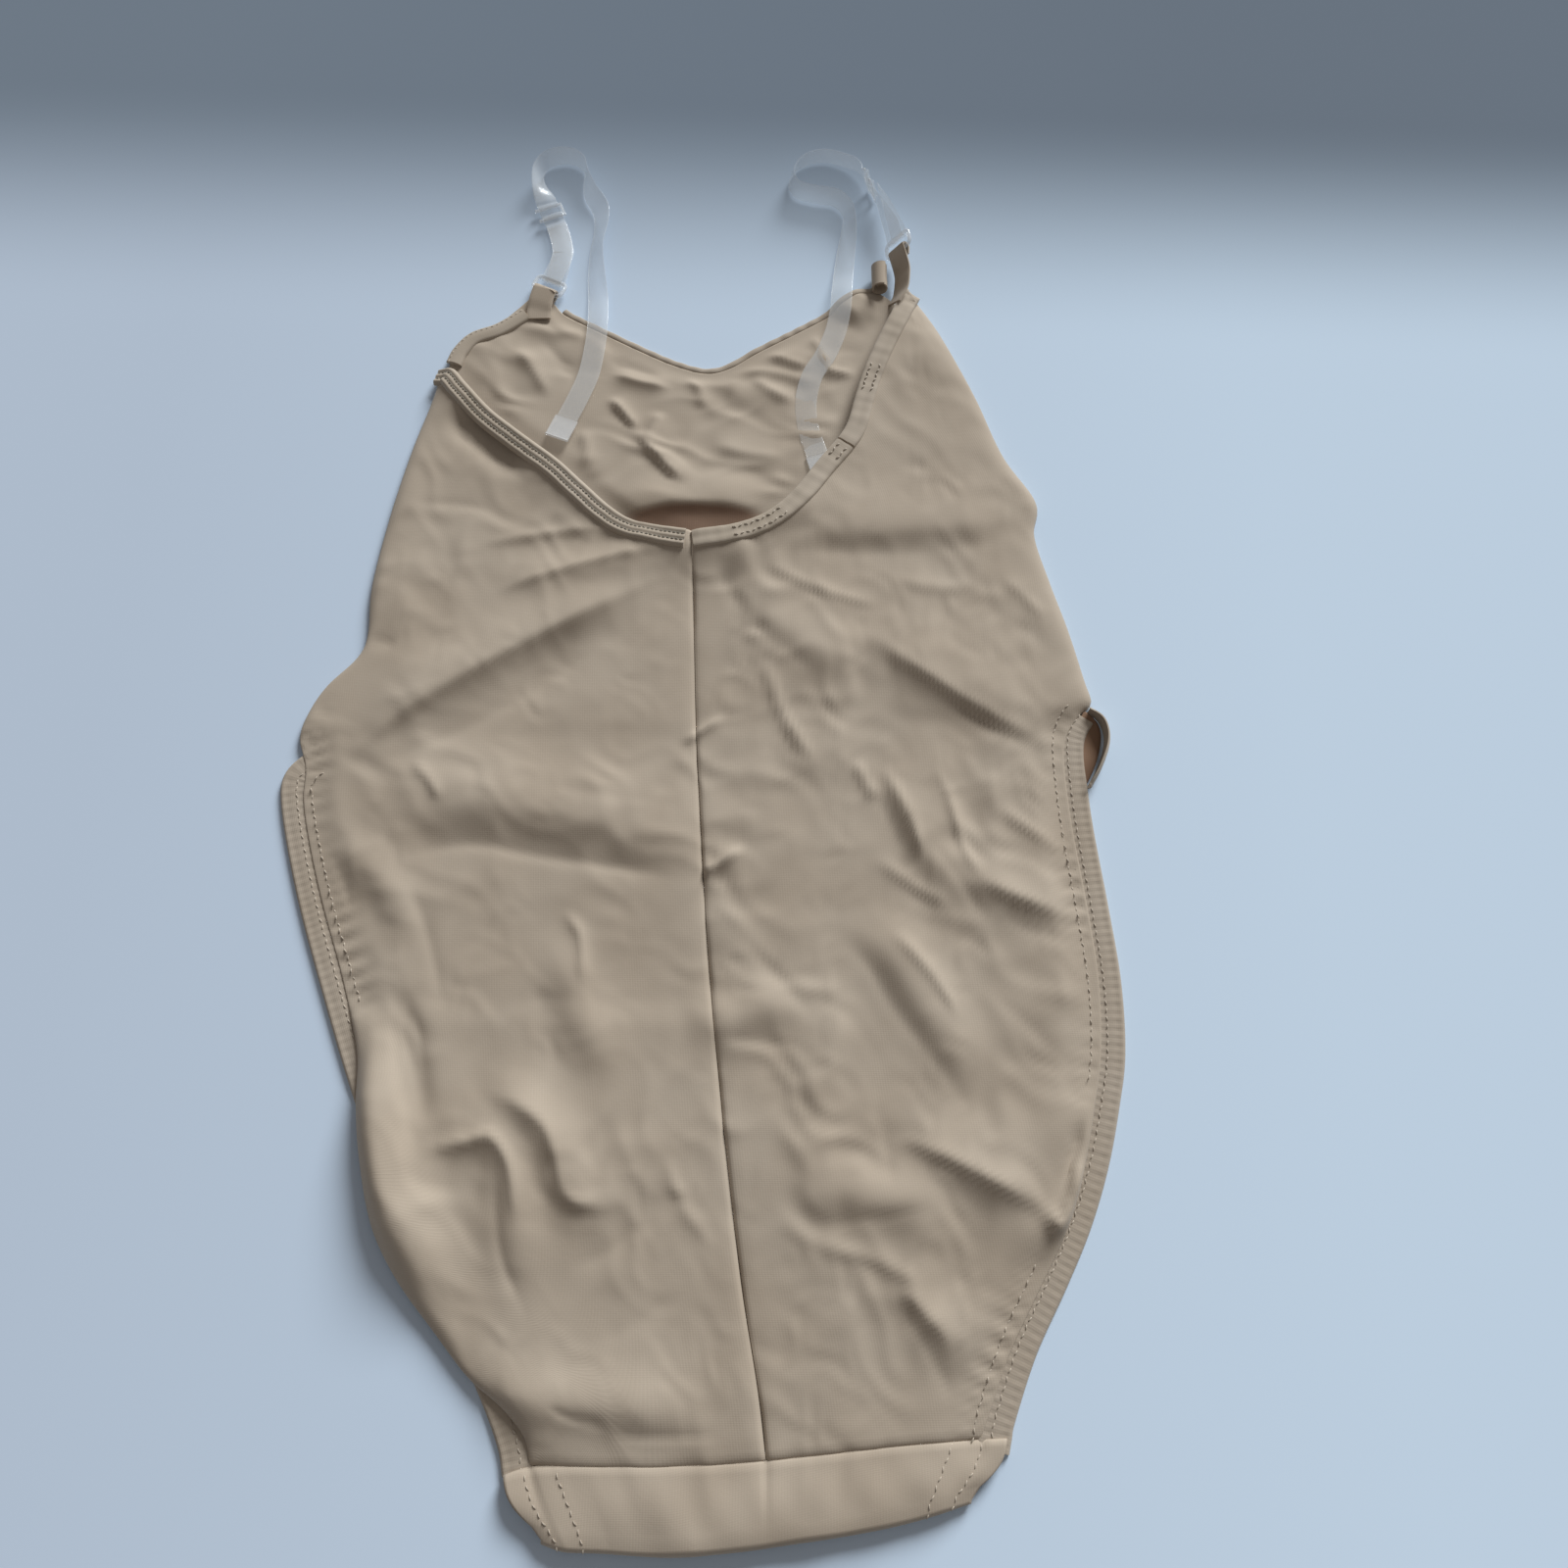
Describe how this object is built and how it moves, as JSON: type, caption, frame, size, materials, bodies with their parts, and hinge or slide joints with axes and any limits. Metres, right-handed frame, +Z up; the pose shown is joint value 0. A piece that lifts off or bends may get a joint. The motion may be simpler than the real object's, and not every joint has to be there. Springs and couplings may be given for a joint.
{
  "type": "camisole leotard",
  "caption": "Stretch-jersey camisole leotard laid flat with its back up: scooped back, elastic-banded leg openings and clear adjustable straps with rings and sliders.",
  "frame": {"origin": "centre of the laid garment's bounding box, on the surface that it lies on", "axes": "+Z up from the surface, +Y from the crotch fold towards the straps, +X to the right as seen from above with the back up"},
  "size_m": [0.336, 0.6018, 0.0153],
  "materials": {
    "beige_jersey": "matte fine-ribbed stretch jersey with a soft sheen",
    "beige_elastic": "matte elastic covered in jersey and stitched",
    "clear_plastic": "clear glossy plastic"
  },
  "bodies": {
    "root": {"back_left_panel": "beige_jersey", "back_right_panel": "beige_jersey", "front_panel": "beige_jersey", "crotch_gusset": "beige_jersey", "front_peak_roll_right": "beige_jersey", "strap_loop_left": "beige_jersey", "strap_loop_right": "beige_jersey", "scoop_band_left": "beige_elastic", "scoop_band_right": "beige_elastic", "armhole_band_left": "beige_elastic", "armhole_band_right": "beige_elastic", "neckline_edge": "beige_elastic", "leg_band_left": "beige_elastic", "leg_band_right": "beige_elastic", "front_leg_band_left": "beige_elastic", "front_leg_band_right": "beige_elastic", "front_leg_band_right_loop": "beige_elastic", "strap_left": "clear_plastic", "strap_right": "clear_plastic", "ring_left": "clear_plastic", "ring_right": "clear_plastic", "slider_left": "clear_plastic", "slider_right": "clear_plastic", "hook_left": "clear_plastic", "hook_right": "clear_plastic"}
  },
  "joints": []
}
